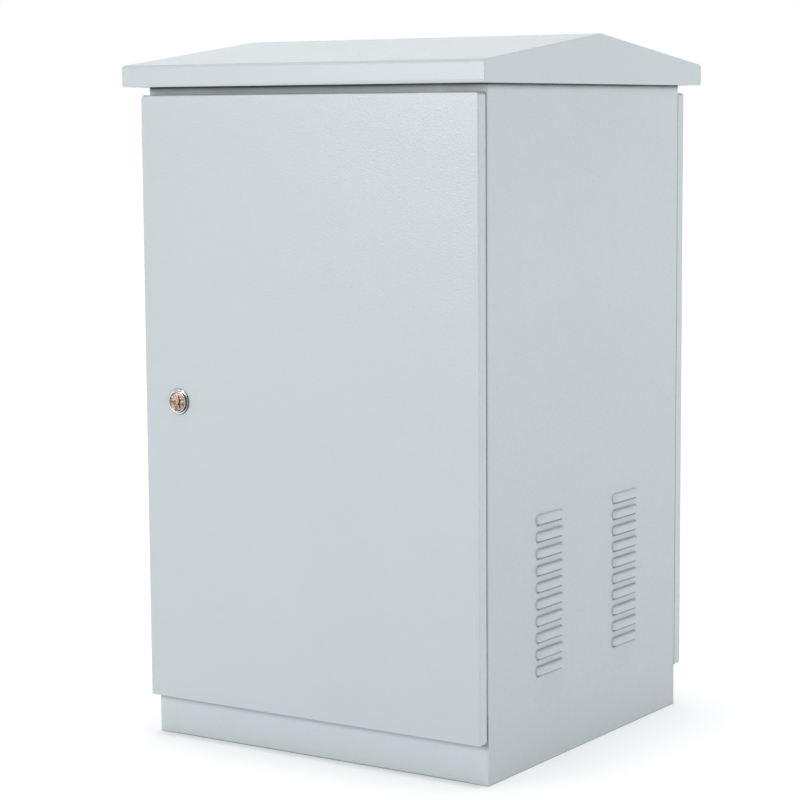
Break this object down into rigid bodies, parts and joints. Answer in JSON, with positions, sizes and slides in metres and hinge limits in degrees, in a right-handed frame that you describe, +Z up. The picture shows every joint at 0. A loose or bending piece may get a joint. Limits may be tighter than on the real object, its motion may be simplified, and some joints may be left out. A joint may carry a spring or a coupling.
{
  "type": "roadside utility cabinet",
  "caption": "Free-standing folded steel outdoor cabinet with an overhanging gable roof, louvred sides, lockable front and rear doors and 19 inch rack posts inside.",
  "frame": {"origin": "on the floor under the middle of the body", "axes": "+Z up, the front door faces -Y, its lock is on the -X side and its hinges on the +X side"},
  "size_m": [0.64, 0.66, 1.072],
  "materials": {
    "side_panel": "textured powder coat",
    "top_rail": "textured powder coat",
    "plinth": "textured powder coat",
    "top_plate": "textured powder coat",
    "base_plate": "textured powder coat",
    "gland_plate": "zinc plated sheet",
    "gland_plate_screws": "zinc plated",
    "cable_grommets": "matt",
    "roof_cap": "textured powder coat",
    "roof_brace": "zinc plated sheet",
    "roof_spacers": "matt",
    "roof_bolts": "zinc plated",
    "roof_nuts": "zinc plated",
    "filter_holder": "zinc plated sheet",
    "filter_mat": "open fibre mat",
    "side_rails": "zinc plated sheet",
    "rack_post": "zinc plated sheet",
    "post_bolts": "zinc plated",
    "post_nuts": "zinc plated",
    "shelf": "zinc plated sheet",
    "shelf_screws": "zinc plated",
    "cage_nuts": "spring steel",
    "earth_stud": "zinc plated",
    "hinge_fixed": "zinc plated",
    "hinge_pins": "bright steel",
    "door_pan": "textured powder coat",
    "door_gasket": "closed-cell foam",
    "door_stiffeners": "textured powder coat",
    "hinge_door": "zinc plated",
    "lock_housing": "polished",
    "lock_nut": "zinc plated",
    "lock_plug": "satin",
    "lock_cam": "zinc plated",
    "lock_screw": "zinc plated"
  },
  "bodies": {
    "cabinet": {"side_panel_left": "side_panel", "side_panel_right": "side_panel", "front_top_rail": "top_rail", "rear_top_rail": "top_rail", "front_plinth": "plinth", "rear_plinth": "plinth", "top_plate": "top_plate", "base_plate": "base_plate", "gland_plate": "gland_plate", "gland_plate_screws": "gland_plate_screws", "cable_grommets": "cable_grommets", "roof_cap": "roof_cap", "roof_brace_left": "roof_brace", "roof_brace_right": "roof_brace", "roof_spacers": "roof_spacers", "roof_bolts": "roof_bolts", "roof_nuts": "roof_nuts", "filter_holder_left": "filter_holder", "filter_holder_right": "filter_holder", "filter_mat_left": "filter_mat", "filter_mat_right": "filter_mat", "side_rails_left": "side_rails", "side_rails_right": "side_rails", "rack_post_front_left": "rack_post", "rack_post_front_right": "rack_post", "rack_post_rear_left": "rack_post", "rack_post_rear_right": "rack_post", "post_bolts": "post_bolts", "post_nuts": "post_nuts", "shelf": "shelf", "shelf_screws": "shelf_screws", "cage_nuts": "cage_nuts", "earth_stud": "earth_stud", "front_hinge_fixed_upper": "hinge_fixed", "front_hinge_fixed_lower": "hinge_fixed", "front_hinge_pins": "hinge_pins", "rear_hinge_fixed_upper": "hinge_fixed", "rear_hinge_fixed_lower": "hinge_fixed", "rear_hinge_pins": "hinge_pins"},
    "front_door": {"front_door_pan": "door_pan", "front_door_gasket": "door_gasket", "front_door_stiffeners": "door_stiffeners", "front_hinge_door_upper": "hinge_door", "front_hinge_door_lower": "hinge_door", "front_lock_housing": "lock_housing", "front_lock_nut": "lock_nut"},
    "front_lock": {"front_lock_plug": "lock_plug", "front_lock_cam": "lock_cam", "front_lock_screw": "lock_screw"},
    "rear_door": {"rear_door_pan": "door_pan", "rear_door_gasket": "door_gasket", "rear_door_stiffeners": "door_stiffeners", "rear_hinge_door_upper": "hinge_door", "rear_hinge_door_lower": "hinge_door", "rear_lock_housing": "lock_housing", "rear_lock_nut": "lock_nut"},
    "rear_lock": {"rear_lock_plug": "lock_plug", "rear_lock_cam": "lock_cam", "rear_lock_screw": "lock_screw"}
  },
  "joints": [
    {"name": "front_door_hinge", "type": "hinge", "parent": "cabinet", "child": "front_door", "pos_m": [0.2915, -0.305, 0.5], "axis": [0, 0, 1], "range_deg": [0, 105]},
    {"name": "front_lock_turn", "type": "hinge", "parent": "front_door", "child": "front_lock", "pos_m": [-0.235, -0.312, 0.5245], "axis": [0, 1, 0], "range_deg": [0, 90]},
    {"name": "rear_door_hinge", "type": "hinge", "parent": "cabinet", "child": "rear_door", "pos_m": [-0.2915, 0.305, 0.5], "axis": [0, 0, 1], "range_deg": [0, 105]},
    {"name": "rear_lock_turn", "type": "hinge", "parent": "rear_door", "child": "rear_lock", "pos_m": [0.235, 0.312, 0.5245], "axis": [0, -1, 0], "range_deg": [0, 90]}
  ]
}
